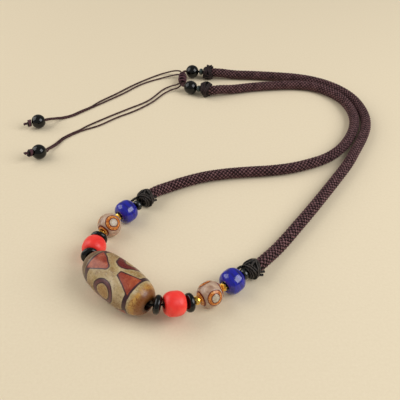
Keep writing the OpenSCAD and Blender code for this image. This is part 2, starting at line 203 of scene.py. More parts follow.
class Geo:
    """Gathers closed pieces of surface into one mesh, with a UV layer that runs along and round each strand."""

    def __init__(self):
        self.v, self.q, self.t, self.uq, self.ut, self.r, self.n = [], [], [], [], [], [], 0

    def add(self, v, q, t, uq=None, ut=None, ridge=None):
        q = np.asarray(q, int).reshape(-1, 4)
        t = np.asarray(t, int).reshape(-1, 3)
        self.v.append(np.asarray(v, float))
        self.q.append(q + self.n)
        self.t.append(t + self.n)
        self.uq.append(np.zeros((len(q), 4, 2)) if uq is None else uq)
        self.ut.append(np.zeros((len(t), 3, 2)) if ut is None else ut)
        self.r.append(np.zeros(len(v)) if ridge is None else ridge)
        self.n += len(v)

    def sweep(self, path, wide, thick, sides=8, normal=None, lie=None):
        """A closed tube along path: half width wide across the normal and half thickness thick along it."""
        path = np.asarray(path, float)
        t = unit(np.gradient(path, axis=0))
        nrm = carried(path) if normal is None else np.asarray(normal, float)
        nrm = unit(nrm - (nrm * t).sum(1, keepdims=True) * t)
        b = np.cross(t, nrm)
        wide = np.broadcast_to(wide, len(path))[:, None, None]
        flatness = float(np.max(thick))
        thick = np.broadcast_to(thick, len(path))[:, None, None]
        a = (np.arange(sides) + 0.5) / sides * 2 * pi
        ring = path[:, None] + wide * np.cos(a)[None, :, None] * b[:, None] + thick * np.sin(a)[None, :, None] * nrm[:, None]
        m = len(path)
        run = np.concatenate([[0], np.cumsum(np.linalg.norm(np.diff(path, axis=0), axis=1))])
        i, k = np.meshgrid(np.arange(m - 1), np.arange(sides), indexing="ij")
        i, k = i.ravel(), k.ravel()
        w = (k + 1) % sides
        quads = np.stack([i * sides + k, (i + 1) * sides + k, (i + 1) * sides + w, i * sides + w], 1)
        k0, k1 = (k + 0.5) / sides, (k + 1.5) / sides
        uv = np.stack([np.stack([run[i], k0], 1), np.stack([run[i + 1], k0], 1),
                       np.stack([run[i + 1], k1], 1), np.stack([run[i], k1], 1)], 1)
        lift, most = (np.zeros(m), 0.0) if lie is None else (np.asarray(lie, float), float(np.max(np.abs(lie))))
        # height above the core, 0 deep in the folds to 1 on the crests: the thread materials paint shade and light from
        # it
        high = 0.5 + 0.5 * (lift[:, None] + flatness * np.sin(a)[None, :]) / (flatness + most)
        high = np.concatenate([high.ravel(), [0.2, 0.2]])
        v = np.concatenate([ring.reshape(-1, 3), path[:1], path[-1:]])
        s = np.arange(sides)
        e = (s + 1) % sides
        tris = np.concatenate([np.stack([np.full(sides, m * sides), s, e], 1),
                               np.stack([np.full(sides, m * sides + 1), (m - 1) * sides + e, (m - 1) * sides + s], 1)])
        self.add(v, quads, tris, uv, ridge=high)

    def lathe(self, profile, n):
        """A closed loop of (x, radius) turned round the X axis."""
        p = np.asarray(profile, float)
        a = np.arange(n) / n * 2 * pi
        v = np.stack([np.broadcast_to(p[:, 0, None], (len(p), n)), p[:, 1, None] * np.cos(a), p[:, 1, None] * np.sin(a)], 2)
        i, k = np.meshgrid(np.arange(len(p)), np.arange(n), indexing="ij")
        i, k = i.ravel(), k.ravel()
        j, w = (i + 1) % len(p), (k + 1) % n
        self.add(v.reshape(-1, 3), np.stack([i * n + k, i * n + w, j * n + w, j * n + k], 1), [])

    def spindle(self, profile, n):
        """An open profile that starts and ends on the X axis, turned round it: a solid with no bore."""
        p = np.asarray(profile, float)
        a = np.arange(n) / n * 2 * pi
        body = p[1:-1]
        v = np.stack([np.broadcast_to(body[:, 0, None], (len(body), n)), body[:, 1, None] * np.cos(a), body[:, 1, None] * np.sin(a)], 2)
        i, k = np.meshgrid(np.arange(len(body) - 1), np.arange(n), indexing="ij")
        i, k = i.ravel(), k.ravel()
        w = (k + 1) % n
        quads = np.stack([i * n + k, i * n + w, (i + 1) * n + w, (i + 1) * n + k], 1)
        s = np.arange(n)
        e = (s + 1) % n
        m = len(body) * n
        tris = np.concatenate([np.stack([np.full(n, m), e, s], 1), np.stack([np.full(n, m + 1), m - n + s, m - n + e], 1)])
        self.add(np.concatenate([v.reshape(-1, 3), [[p[0, 0], 0, 0]], [[p[-1, 0], 0, 0]]]), quads, tris)

    def piece(self, name, material, slot, replaces=(), pose=None, faceted=False, wobble=0.0, grain=1.0):
        v = np.concatenate(self.v)
        if wobble:
            v = v + wobble * np.array([noise.noise_vector(Vector(x * grain)) for x in v])
        quads, tris = np.concatenate(self.q), np.concatenate(self.t)
        me = bpy.data.meshes.new(name)
        me.from_pydata((v * MM).tolist(), [], quads.tolist() + tris.tolist())
        uv = me.uv_layers.new(name="strand")
        both = np.concatenate([np.concatenate(self.uq).reshape(-1, 2), np.concatenate(self.ut).reshape(-1, 2)])
        uv.data.foreach_set("uv", both.astype(np.float32).ravel())
        me.polygons.foreach_set("use_smooth", [not faceted] * len(me.polygons))
        high = me.attributes.new("ridge", "FLOAT", "POINT")
        high.data.foreach_set("value", np.concatenate(self.r).astype(np.float32))
        me.materials.append(material)
        me.update()
        o = bpy.data.objects.new(name, me)
        scene.collection.objects.link(o)
        if pose is not None:
            o.matrix_world = pose
        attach(o, "root")
        if replaces:
            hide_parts(*replaces)
        return o


def corner(p, q, r, e, n=4):
    """A rounded corner at q, from p's side to r's side, e from it each way."""
    p, q, r = (np.asarray(x, float) for x in (p, q, r))
    a = q + unit(p - q) * min(e, np.linalg.norm(p - q) * 0.49)
    c = q + unit(r - q) * min(e, np.linalg.norm(r - q) * 0.49)
    t = np.linspace(0, 1, n + 1)[:, None]
    return (1 - t) ** 2 * a + 2 * t * (1 - t) * q + t ** 2 * c


def bead_profile(length, r, face_r, bore, sq, mouth=0.0, n=40, edge=0.28, depth=0.9):
    """The section of a bored bead: a turned outside, rounded rims, and the bore with its flared mouths."""
    h = length / 2
    t0 = math.asin((face_r / r) ** (sq / 2))
    k = h / math.cos(t0) ** (2 / sq)
    t = np.linspace(t0, pi - t0, 801)
    c = np.cos(t)
    outer = spaced(np.stack([-k * np.sign(c) * np.abs(c) ** (2 / sq), r * np.sin(t) ** (2 / sq)], 1), count=n + 1)
    away = np.minimum(np.linalg.norm(outer - outer[0], axis=1), np.linalg.norm(outer - outer[-1], axis=1))
    inner = outer[away > edge * 1.02]
    if mouth <= bore:
        mouth, depth = bore + 0.18, 0.22
    end, lip, deep = np.array([h, face_r]), np.array([h, mouth]), np.array([h - depth, bore])
    flip = np.array([-1, 1])
    right = np.concatenate([corner(inner[-1], end, lip, edge), corner(end, lip, deep, min(0.15, (face_r - mouth) * 0.4)),
                            corner(lip, deep, deep * flip, 0.2)])
    tube = np.linspace(deep - [0.4, 0], deep * flip + [0.4, 0], 6)
    return np.concatenate([inner, right, tube, right[::-1] * flip])


# ---------------------------------------------------------------- material tools


def rgb(r, g, b):
    """A colour as the eye sees it, 0 to 255, as the shader's linear colour."""
    return tuple(((x / 255 + 0.055) / 1.055) ** 2.4 if x > 10 else x / 255 / 12.92 for x in (r, g, b)) + (1.0,)


class Mat:
    def __init__(self, name, roughness=0.5, **sockets):
        self.m = bpy.data.materials.new(name)
        self.m.use_nodes = True
        self.t = self.m.node_tree
        self.t.nodes.clear()
        self.out = self.t.nodes.new("ShaderNodeOutputMaterial")
        self.s = self.t.nodes.new("ShaderNodeBsdfPrincipled")
        self.t.links.new(self.s.outputs[0], self.out.inputs[0])
        self.s.inputs["Roughness"].default_value = roughness
        for k, v in sockets.items():
            self.s.inputs[k.replace("_", " ")].default_value = v
        self.own = self.t.nodes.new("ShaderNodeTexCoord").outputs["Object"]

    def put(self, socket, value):
        if isinstance(value, bpy.types.NodeSocket):
            self.t.links.new(value, socket)
        else:
            socket.default_value = value

    def set(self, name, value):
        self.put(self.s.inputs[name], value)

    def math(self, op, a, b=None, c=None, clamp=False):
        n = self.t.nodes.new("ShaderNodeMath")
        n.operation, n.use_clamp = op, clamp
        for i, x in enumerate((a, b, c)):
            if x is not None:
                self.put(n.inputs[i], x)
        return n.outputs[0]

    def add(self, a, b):
        return self.math("ADD", a, b)

    def sub(self, a, b):
        return self.math("SUBTRACT", a, b)

    def mul(self, a, b):
        return self.math("MULTIPLY", a, b)

    def least(self, *x):
        out = x[0]
        for y in x[1:]:
            out = self.math("MINIMUM", out, y)
        return out

    def most(self, *x):
        out = x[0]
        for y in x[1:]:
            out = self.math("MAXIMUM", out, y)
        return out

    def vector(self, op, a, b):
        n = self.t.nodes.new("ShaderNodeVectorMath")
        n.operation = op
        self.put(n.inputs[0], a)
        self.put(n.inputs[1], b)
        return n.outputs["Value" if op in ("DOT_PRODUCT", "DISTANCE", "LENGTH") else "Vector"]

    def split(self, v):
        n = self.t.nodes.new("ShaderNodeSeparateXYZ")
        self.put(n.inputs[0], v)
        return n.outputs

    def join(self, x, y, z):
        n = self.t.nodes.new("ShaderNodeCombineXYZ")
        for i, a in enumerate((x, y, z)):
            self.put(n.inputs[i], a)
        return n.outputs[0]

    def noise(self, scale, detail=2.0, rough=0.5, at=None, distortion=0.0):
        n = self.t.nodes.new("ShaderNodeTexNoise")
        self.put(n.inputs["Vector"], self.own if at is None else at)
        n.inputs["Scale"].default_value = scale
        n.inputs["Detail"].default_value = detail
        n.inputs["Roughness"].default_value = rough
        n.inputs["Distortion"].default_value = distortion
        return n.outputs[0]

    def ramp(self, fac, *stops):
        """Colour or grey by a value; stops are (place, colour)."""
        n = self.t.nodes.new("ShaderNodeValToRGB")
        self.put(n.inputs[0], fac)
        e = n.color_ramp.elements
        while len(e) < len(stops):
            e.new(0.5)
        for x, (place, colour) in zip(e, stops):
            x.position = place
            x.color = colour if isinstance(colour, tuple) else (colour, colour, colour, 1)
        return n.outputs[0]

    def mix(self, fac, a, b, mode="MIX"):
        n = self.t.nodes.new("ShaderNodeMix")
        n.data_type, n.blend_type = "RGBA", mode
        self.put(n.inputs[0], fac)
        self.put(n.inputs[6], a)
        self.put(n.inputs[7], b)
        return n.outputs[2]

    def rise(self, x, lo, hi, a=0.0, b=1.0):
        """Goes smoothly from a to b while x goes from lo to hi."""
        n = self.t.nodes.new("ShaderNodeMapRange")
        n.interpolation_type = "SMOOTHSTEP"
        for i, y in enumerate((x, lo, hi, a, b)):
            self.put(n.inputs[i], y)
        return n.outputs[0]

    def inside(self, distance, soft=0.08):
        return self.rise(distance, -soft, soft, 1.0, 0.0)

    def bump(self, height, distance, strength=1.0):
        n = self.t.nodes.new("ShaderNodeBump")
        n.inputs["Strength"].default_value = strength
        n.inputs["Distance"].default_value = distance
        self.put(n.inputs["Height"], height)
        self.put(self.s.inputs["Normal"], n.outputs[0])
        return n.outputs[0]


def fibre(name, gap, dark, mid, light, roughness, plies, lean, deep, sheen=0.03):
    """Waxed or braided thread: fine plies that lean round each strand, speckled tone, and painted shade: dark in the
    folds between strands, lighter on the crests.
    """
    m = Mat(name, roughness, Sheen_Weight=sheen, Sheen_Roughness=0.4, Specular_IOR_Level=0.16)
    uvn = m.t.nodes.new("ShaderNodeUVMap")
    uvn.uv_map = "strand"
    u = m.split(uvn.outputs[0])
    high = m.t.nodes.new("ShaderNodeAttribute")
    high.attribute_name = "ridge"
    wave = m.math("SINE", m.mul(m.add(m.mul(u[1], float(plies)), m.mul(u[0], lean)), 2 * pi))
    fine = m.noise(2600, 3, 0.6)
    wide = m.noise(420, 2, 0.55)
    # painted shade and light: each point's height above the core (the ridge attribute) runs the colour from gap in the
    # folds to light on the crests, with random speckle on top
    tone = m.add(high.outputs["Fac"], m.add(m.add(m.mul(wave, 0.05), m.mul(m.sub(fine, 0.5), 0.35)), m.mul(m.sub(wide, 0.5), 0.3)))
    m.set("Base Color", m.ramp(tone, (0.5, rgb(*gap)), (0.66, rgb(*dark)), (0.83, rgb(*mid)), (1.0, rgb(*light))))
    m.set("Roughness", m.rise(fine, 0.3, 0.7, roughness - 0.1, roughness + 0.1))
    m.bump(m.add(m.mul(wave, 0.6), m.mul(fine, 0.9)), deep)
    return m.m


def glass(name, dark, light, roughness=0.06, scale=260, **more):
    """Polished stone or glass with faint clouds in it and a hardly uneven polish."""
    m = Mat(name, roughness, **more)
    cloud = m.noise(scale, 4, 0.55, distortion=0.6)
    m.set("Base Color", m.ramp(cloud, (0.3, rgb(*dark)), (0.72, rgb(*light))))
    smear = m.noise(900, 3, 0.6)
    m.set("Roughness", m.rise(smear, 0.35, 0.75, roughness, roughness + 0.07))
    m.bump(m.noise(380, 2, 0.5), 0.00004)
    return m.m


# The dzi bead. s runs along the bore in mm, turn goes round it from the top towards the camera's side.
def dzi_material():
    m = Mat("dzi_agate_polished", 0.34, Specular_IOR_Level=0.42, Coat_Weight=0.1, Coat_Roughness=0.2)
    x, y, z = m.split(m.own)
    turn = m.math("ARCTAN2", m.mul(y, -1.0), z)
    hand = m.mul(m.sub(m.noise(150, 2, 0.5), 0.5), 1.0)
    other = m.mul(m.sub(m.noise(170, 2, 0.5, at=m.vector("ADD", m.own, (0.3, 0.1, 0.2))), 0.5), 1.0)
    fine = m.mul(m.sub(m.noise(1100, 2, 0.6), 0.5), 0.18)
    s = m.add(m.mul(x, 1000.0), m.add(hand, fine))
    round_ = m.add(turn, m.mul(m.add(other, fine), 1 / 8.3))

    def folded(middle):
        return m.mul(m.math("WRAP", m.sub(round_, math.radians(middle)), pi / 3, -pi / 3), 8.3)

    # left tooth: base on the left band, point towards the middle
    a = m.math("ABSOLUTE", folded(12.5))
    edge = m.mul(m.add(m.add(a, m.mul(s, 0.58)), 0.32), 0.865)
    left = m.math("SMOOTH_MAX", edge, m.add(s, 2.1), 1.1)
    band_l = m.sub(m.math("ABSOLUTE", m.add(s, 10.15)), 1.12)
    dark_l = m.math("SMOOTH_MIN", m.most(left, m.sub(-11.27, s)), band_l, 0.8)
    fill_l = m.most(m.add(left, 0.5), m.sub(-10.6, s))
    # right tooth
    a = m.math("ABSOLUTE", folded(8.0))
    q = m.sub(s, 2.6)
    edge = m.mul(m.sub(a, m.add(m.add(m.mul(s, 0.28), 0.45), m.mul(m.mul(q, q), 0.023))), 0.9)
    right = m.math("SMOOTH_MAX", edge, m.sub(2.6, s), 0.9)
    sr = m.sub(s, m.mul(m.math("SINE", turn), 0.45))
    band_r = m.sub(m.math("ABSOLUTE", m.sub(sr, 10.6)), 0.78)
    dark_r = m.math("SMOOTH_MIN", m.most(right, m.sub(sr, 11.38)), band_r, 0.9)
    fill_r = m.most(m.add(right, 0.5), m.sub(sr, 10.75))
    # ring eyes between the teeth
    behind = m.mul(m.rise(turn, math.radians(-30), math.radians(-10), 1.0, 0.0), m.rise(turn, math.radians(-130), math.radians(-100)))
    e = m.mul(m.math("WRAP", m.sub(m.add(round_, m.mul(behind, math.radians(7))), math.radians(75.5)), pi / 3, -pi / 3), 8.3)
    d = m.math("SQRT", m.add(m.mul(e, e), m.math("POWER", m.sub(s, 0.6), 2.0)))
    ring = m.most(m.sub(d, 5.25), m.sub(m.sub(3.25, m.mul(behind, 0.9)), d))
    fill_e = m.add(ring, 0.46)

    dark = m.least(dark_l, dark_r, ring)
    teeth = m.least(fill_l, fill_r)

    # the ground: olive and grey agate, with soft bands that run round and along the bead
    stretched = m.vector("MULTIPLY", m.own, (0.45, 1.0, 1.0))
    cloud = m.noise(150, 4, 0.55, at=stretched, distortion=0.8)
    ground = m.ramp(cloud, (0.28, rgb(142, 108, 58)), (0.42, rgb(168, 140, 88)), (0.55, rgb(188, 164, 120)), (0.66, rgb(202, 182, 150)), (0.8, rgb(214, 198, 174)))
    warm = m.noise(90, 2, 0.5, at=m.vector("ADD", m.own, (0.7, 0.4, 0.1)))
    ground = m.mix(m.rise(warm, 0.5, 0.7, 0.0, 0.6), ground, rgb(146, 104, 52))
    # painted shade with a warm bounce: the lower flank on the camera's side is darkened to warm brown
    painted_shade_below = m.mul(m.rise(turn, math.radians(50), math.radians(90)), 0.8)
    ground = m.mix(painted_shade_below, ground, rgb(120, 80, 32))
    mottle = m.noise(850, 4, 0.7, distortion=0.4)
    ground = m.mix(m.rise(mottle, 0.5, 0.64, 0.0, 0.6), ground, rgb(118, 86, 44))
    grain = m.noise(1400, 3, 0.75, at=m.vector("ADD", m.own, (0.1, 0.6, 0.9)))
    ground = m.mix(m.rise(grain, 0.52, 0.66, 0.0, 0.45), ground, rgb(214, 198, 164))
    ground = m.mix(m.inside(m.sub(d, 3.3), 0.2), ground, m.mix(m.rise(mottle, 0.4, 0.6), rgb(146, 108, 60), rgb(172, 136, 86)))
    amber = m.ramp(m.noise(210, 5, 0.6, distortion=1.4), (0.3, rgb(142, 84, 24)), (0.5, rgb(188, 138, 62)), (0.75, rgb(214, 176, 104)))
    vein = m.math("ABSOLUTE", m.sub(m.noise(230, 4, 0.6, distortion=2.6), 0.5))
    amber = m.mix(m.mul(m.rise(vein, 0.0, 0.025, 0.95, 0.0), m.rise(s, 10.8, 13.0)), amber, rgb(120, 56, 16))
    amber = m.mix(m.rise(m.add(s, m.mul(m.noise(200, 3, 0.6), 4.0)), 15.4, 17.4, 0.0, 0.85), amber, rgb(112, 54, 18))
    deep = m.add(sr, m.mul(m.sub(m.noise(190, 3, 0.6, distortion=1.0), 0.5), 5.0))
    ground = m.mix(m.rise(deep, 11.6, 13.8), ground, amber)
    # painted shade round the bore's mouth at the right end, where the hole is dark
    wide = m.math("SQRT", m.add(m.mul(y, y), m.mul(z, z)))
    ground = m.mix(m.mul(m.rise(wide, 0.0022, 0.0044, 0.8, 0.0), m.rise(s, 12.0, 14.0)), ground, rgb(62, 32, 14))
    pale = m.ramp(m.noise(260, 4, 0.6), (0.3, rgb(88, 60, 36)), (0.7, rgb(126, 94, 60)))
    ground = m.mix(m.rise(s, -11.6, -11.0, 1.0, 0.0), ground, pale)
    halo = m.mul(m.rise(dark, 0.05, 0.2), m.rise(dark, 0.3, 0.75, 1.0, 0.0))
    ground = m.mix(m.mul(halo, 0.28), ground, rgb(186, 176, 140))

    blot = m.noise(420, 4, 0.65, distortion=0.5)
    ink = m.ramp(blot, (0.3, rgb(44, 20, 26)), (0.7, rgb(78, 44, 50)))
    red = m.ramp(blot, (0.28, rgb(104, 30, 20)), (0.45, rgb(142, 54, 34)), (0.6, rgb(162, 76, 52)), (0.78, rgb(188, 120, 94)))
    hot = m.noise(140, 2, 0.5, at=m.vector("ADD", m.own, (0.2, 0.9, 0.5)))
    red = m.mix(m.mul(m.rise(hot, 0.45, 0.68, 0.0, 0.8), m.rise(blot, 0.3, 0.6, 0.3, 0.8)), red, rgb(184, 92, 44))
    plum = m.ramp(blot, (0.3, rgb(84, 44, 48)), (0.7, rgb(116, 70, 70)))
    back = m.math("COSINE", m.add(turn, math.radians(50)))
    plum = m.mix(m.rise(back, 0.55, 0.9), plum, rgb(104, 18, 12))

    colour = m.mix(m.inside(dark, 0.09), ground, ink)
    colour = m.mix(m.inside(fill_e, 0.14), colour, plum)
    colour = m.mix(m.inside(teeth, 0.14), colour, red)
    # painted shade inside the bore and its mouth
    bore = m.math("SQRT", m.add(m.mul(y, y), m.mul(z, z)))
    colour = m.mix(m.rise(bore, 0.0019, 0.0024, 0.9, 0.0), colour, rgb(34, 18, 12))
    m.set("Base Color", colour)
    m.set("Roughness", m.rise(m.noise(700, 3, 0.6), 0.3, 0.7, 0.26, 0.4))
    etched = m.mul(m.inside(dark, 0.12), -0.35)
    m.bump(m.add(m.mul(m.noise(1500, 3, 0.6), 0.25), m.add(etched, m.mul(m.noise(240, 2, 0.5), 0.7))), 0.00008)
    return m.m


def eye_material(name, first, lean, near_cap, far_cap, size):
    """A round etched agate bead: three ring eyes round its middle and a painted cap round each end of its bore."""
    m = Mat(name, 0.2, Specular_IOR_Level=0.5, Subsurface_Weight=0.12, Subsurface_Radius=(0.0012, 0.0008, 0.0005), Subsurface_Scale=1.0)
    n = m.t.nodes.new("ShaderNodeVectorMath")
    n.operation = "NORMALIZE"
    m.put(n.inputs[0], m.own)
    x, y, z = m.split(n.outputs[0])
    hand = m.mul(m.sub(m.noise(330, 2, 0.5), 0.5), 0.16)
    turn = m.add(m.math("ARCTAN2", m.mul(y, -1.0), z), hand)
    fold = m.math("WRAP", m.sub(turn, math.radians(first)), pi / 3, -pi / 3)
    up = m.math("ARCSINE", x)
    near = m.add(m.mul(m.math("SINE", up), math.sin(math.radians(lean))),
                 m.mul(m.mul(m.math("COSINE", up), math.cos(math.radians(lean))), m.math("COSINE", fold)))
    d = m.mul(m.add(m.math("ARCCOSINE", near), m.mul(hand, 0.4)), 5.1)  # mm from the middle of the eye
    outer, inner = size, size * 0.55
    ring = m.most(m.sub(d, outer), m.sub(inner, d))
    line = m.least(m.math("ABSOLUTE", m.sub(d, outer)), m.math("ABSOLUTE", m.sub(d, inner)))
    pole_a = m.mul(m.add(m.math("ARCCOSINE", m.mul(x, -1.0)), m.mul(hand, 0.5)), 5.1)
    pole_b = m.mul(m.add(m.math("ARCCOSINE", x), m.mul(hand, 0.5)), 5.1)
    a, b = math.radians(near_cap) * 5.1, math.radians(far_cap) * 5.1
    caps = m.least(m.sub(pole_a, a), m.sub(pole_b, b))
    rim = m.sub(m.least(m.math("ABSOLUTE", m.sub(pole_a, a)), m.math("ABSOLUTE", m.sub(pole_b, b))), 0.12)

    cloud = m.noise(260, 4, 0.6, distortion=0.9)
    ground = m.ramp(cloud, (0.3, rgb(150, 116, 94)), (0.45, rgb(182, 150, 128)), (0.6, rgb(204, 178, 152)), (0.75, rgb(226, 206, 180)))
    stain = m.noise(170, 3, 0.55, at=m.vector("ADD", m.own, (0.4, 0.8, 0.3)))
    ground = m.mix(m.rise(stain, 0.52, 0.7, 0.0, 0.6), ground, rgb(168, 132, 96))
    blot = m.noise(1000, 4, 0.75, distortion=0.5)
    orange = m.ramp(blot, (0.32, rgb(126, 50, 12)), (0.44, rgb(190, 98, 26)), (0.55, rgb(214, 134, 54)), (0.66, rgb(248, 206, 138)))
    ink = m.ramp(blot, (0.3, rgb(70, 16, 8)), (0.7, rgb(120, 44, 20)))
    chalk = m.ramp(m.noise(1300, 3, 0.7), (0.35, rgb(168, 148, 126)), (0.65, rgb(208, 194, 170)))
    colour = m.mix(m.inside(ring, 0.08), ground, orange)
    colour = m.mix(m.inside(m.sub(d, inner), 0.08), colour, chalk)
    colour = m.mix(m.inside(m.sub(line, 0.2), 0.09), colour, ink)
    open_ = m.rise(d, outer, outer + 0.1)
    colour = m.mix(m.mul(m.inside(caps, 0.08), open_), colour, orange)
    colour = m.mix(m.mul(m.inside(m.sub(rim, 0.2), 0.1), open_), colour, rgb(104, 16, 8))
    # painted shade in and round the bore
    bore = m.math("SQRT", m.add(m.math("POWER", m.mul(m.split(m.own)[1], 1000.0), 2.0), m.math("POWER", m.mul(m.split(m.own)[2], 1000.0), 2.0)))
    colour = m.mix(m.rise(bore, 1.1, 1.45, 0.8, 0.0), colour, rgb(60, 26, 18))
    m.set("Base Color", colour)
    m.set("Roughness", m.rise(m.noise(900, 3, 0.6), 0.3, 0.7, 0.14, 0.28))
    m.bump(m.add(m.mul(m.inside(m.sub(line, 0.17), 0.1), -0.6), m.mul(m.noise(1400, 3, 0.6), 0.3)), 0.00006)
    return m.m


def coral_material():
    m = Mat("red_satin", 0.4, Specular_IOR_Level=0.45, Coat_Weight=0.12, Coat_Roughness=0.3)
    cloud = m.noise(170, 3, 0.55, distortion=0.5)
    colour = m.ramp(cloud, (0.3, rgb(238, 38, 32)), (0.52, rgb(252, 58, 48)), (0.78, rgb(255, 96, 82)))
    speck = m.noise(1900, 3, 0.7)
    colour = m.mix(m.rise(speck, 0.62, 0.75, 0.0, 0.3), colour, rgb(196, 28, 26))
    x, y, z = m.split(m.own)
    # painted shade in and round the bore
    bore = m.math("SQRT", m.add(m.mul(y, y), m.mul(z, z)))
    colour = m.mix(m.rise(bore, 0.0012, 0.0019, 0.8, 0.0), colour, rgb(110, 12, 12))
    m.set("Base Color", colour)
    m.set("Roughness", m.rise(m.noise(800, 3, 0.6), 0.3, 0.7, 0.36, 0.5))
    m.bump(m.add(m.mul(speck, 0.5), m.noise(260, 2, 0.5)), 0.00009)
    return m.m


def blue_material():
    m = Mat("blue_glass", 0.1, Specular_IOR_Level=0.7)
    x, y, z = m.split(m.own)
    swirl = m.noise(120, 3, 0.5, at=m.vector("MULTIPLY", m.own, (2.2, 0.8, 0.8)), distortion=1.6)
    colour = m.ramp(swirl, (0.32, rgb(8, 9, 90)), (0.48, rgb(16, 20, 148)), (0.62, rgb(22, 28, 170)), (0.78, rgb(48, 54, 190)))
    bubble = m.noise(1600, 2, 0.6)
    colour = m.mix(m.rise(bubble, 0.66, 0.78, 0.0, 0.35), colour, rgb(14, 12, 84))
    # painted shade in the bore's flared mouth
    bore = m.math("SQRT", m.add(m.mul(y, y), m.mul(z, z)))
    colour = m.mix(m.rise(bore, 0.0014, 0.0023, 0.8, 0.0), colour, rgb(12, 10, 60))
    m.set("Base Color", colour)
    m.set("Roughness", m.rise(m.noise(500, 3, 0.6), 0.35, 0.7, 0.08, 0.2))
    m.bump(m.noise(210, 2, 0.5), 0.00016)
    return m.m


def gold_material():
    m = Mat("gold_seed_metal", 0.16, Metallic=1.0)
    n = m.noise(900, 3, 0.6)
    m.set("Base Color", m.ramp(n, (0.3, rgb(228, 160, 52)), (0.6, rgb(255, 222, 118))))
    m.set("Roughness", m.rise(n, 0.3, 0.7, 0.1, 0.24))
    m.bump(m.noise(2200, 2, 0.5), 0.00003)
    return m.m


M_DZI = dzi_material()
M_EYE_R = eye_material("etched_agate_right", 63, -3, 35, 48, 3.2)
M_EYE_L = eye_material("etched_agate_left", 41, -8, 31, 42, 3.5)
M_CORAL, M_BLUE, M_GOLD = coral_material(), blue_material(), gold_material()
M_BLACK = glass("black_polished", (1, 2, 2), (5, 7, 7), 0.07, Specular_IOR_Level=0.4)
M_SPACER = glass("black_spacer_polished", (8, 11, 11), (22, 28, 28), 0.1, Specular_IOR_Level=0.7)
M_TEAL = glass("teal_spacer_glass", (30, 38, 38), (66, 80, 78), 0.12, 500)
# the four colours of each thread run from painted shade in the folds to painted light on the crests
M_BRAID = fibre("braided_cord_maroon", (4, 1, 1), (18, 7, 8), (61, 36, 38), (138, 100, 102), 0.55, 4, 0.7, 0.00007)
M_KNOT = fibre("black_waxed_cord", (1, 1, 1), (1, 1, 1), (6, 5, 5), (70, 63, 58), 0.36, 3, 0.8, 0.00006)
M_KNOT_REAR = fibre("dark_brown_waxed_cord", (3, 2, 2), (8, 6, 6), (22, 15, 16), (58, 44, 46), 0.5, 3, 0.8, 0.00006)
M_STRING = fibre("dark_thread", (3, 2, 2), (7, 6, 6), (18, 15, 14), (44, 38, 36), 0.5, 1, 0.5, 0.00004)
M_THREAD = fibre("brown_thread_waxed", (18, 8, 9), (37, 19, 20), (64, 37, 38), (108, 76, 75), 0.5, 1, 0.6, 0.00004)
M_SLIDER = fibre("brown_knotted_thread", (18, 8, 10), (46, 24, 30), (68, 38, 45), (92, 60, 66), 0.55, 3, 0.8, 0.00006)

# ---------------------------------------------------------------- cords


def thick_path(item, route, rear_item):
    a, b = direction(item[2]), direction(rear_item[2])
    front, rear = on_axis(item, 1), on_axis(rear_item, -1)
    points = [front - SOCKET * a, front + 0.8 * a] + [np.array(p, float) + SHIFT for p in route] + [rear - 0.8 * b, rear + SOCKET * b]
    return smooth(points, 0.27)


def braid(name, node, path, strands=8, radius=2.72, wide=0.54, thick=0.34, lift=0.29, pitch=16.2, start=0.0):
    """A round braid of real strands: half lean one way and half the other, and each goes over one and under one."""
    t = unit(np.gradient(path, axis=0))
    side = unit(np.stack([t[:, 1], -t[:, 0], np.zeros(len(t))], 1))
    up = np.cross(side, t)
    run = np.concatenate([[0], np.cumsum(np.linalg.norm(np.diff(path, axis=0), axis=1))])
    middle = radius - thick - lift
    geo = Geo()
    geo.sweep(path[::3], 1.75, 1.75, 12)
    for i in range(strands):
        for way in (1, -1):
            turn = 2 * pi * (i / strands + way * run / pitch) + start
            lie = way * np.cos(strands * (turn - start))
            out = np.cos(turn)[:, None] * side + np.sin(turn)[:, None] * up
            geo.sweep(path + (middle + lift * lie)[:, None] * out, wide, thick, 6, normal=out, lie=lift * lie)
    return geo.piece(name, M_BRAID, "braided_cord", (node,))


def length_of(path):
    return float(np.linalg.norm(np.diff(path, axis=0), axis=1).sum()) * MM


def declare(piece, path, length):
    print(f"{piece.name}: centreline {length_of(path):.4f} m, declared {length} m")


path_right = thick_path(row_right[8], CORD_RIGHT, rear_right[0])
path_left = thick_path(row_left[8], CORD_LEFT, rear_left[0])
cord_right = braid("cord_right_braid", "cord_right", path_right)
cord_left = braid("cord_left_braid", "cord_left", path_left)
declare(cord_right, path_right, 0.245)
declare(cord_left, path_left, 0.243)


def twisted(geo, path, radius, plies=3, pitch=2.6, sides=5):
    """A thread of twisted plies along a path."""
    n = carried(path)
    t = unit(np.gradient(path, axis=0))
    b = np.cross(t, n)
    run = np.concatenate([[0], np.cumsum(np.linalg.norm(np.diff(path, axis=0), axis=1))])
    r = radius * 0.6
    for p in range(plies):
        a = 2 * pi * p / plies + 2 * pi * run / pitch
        out = np.cos(a)[:, None] * n + np.sin(a)[:, None] * b
        geo.sweep(path + (radius - r) * out, r, r, sides, normal=out)


def beside(points, w):
    p = np.array(points, float)
    t = np.array([unit(p[min(i + 1, len(p) - 1)] - p[max(i - 1, 0)]) for i in range(len(p))])
    side = unit(np.stack([t[:, 1], -t[:, 0], np.zeros(len(t))], 1))
    return p + w * side


def tail_path(route, last, end, w):
    a, p = direction(end[2], end[3]), np.array([end[0], end[1], END_R])
    joined = beside(list(last) + [tuple(p - 4.1 * a), tuple(p + 3.5 * a)], w)
    return smooth(np.concatenate([np.array(route, float), joined]) + SHIFT, 0.35)


# ---------------------------------------------------------------- beads


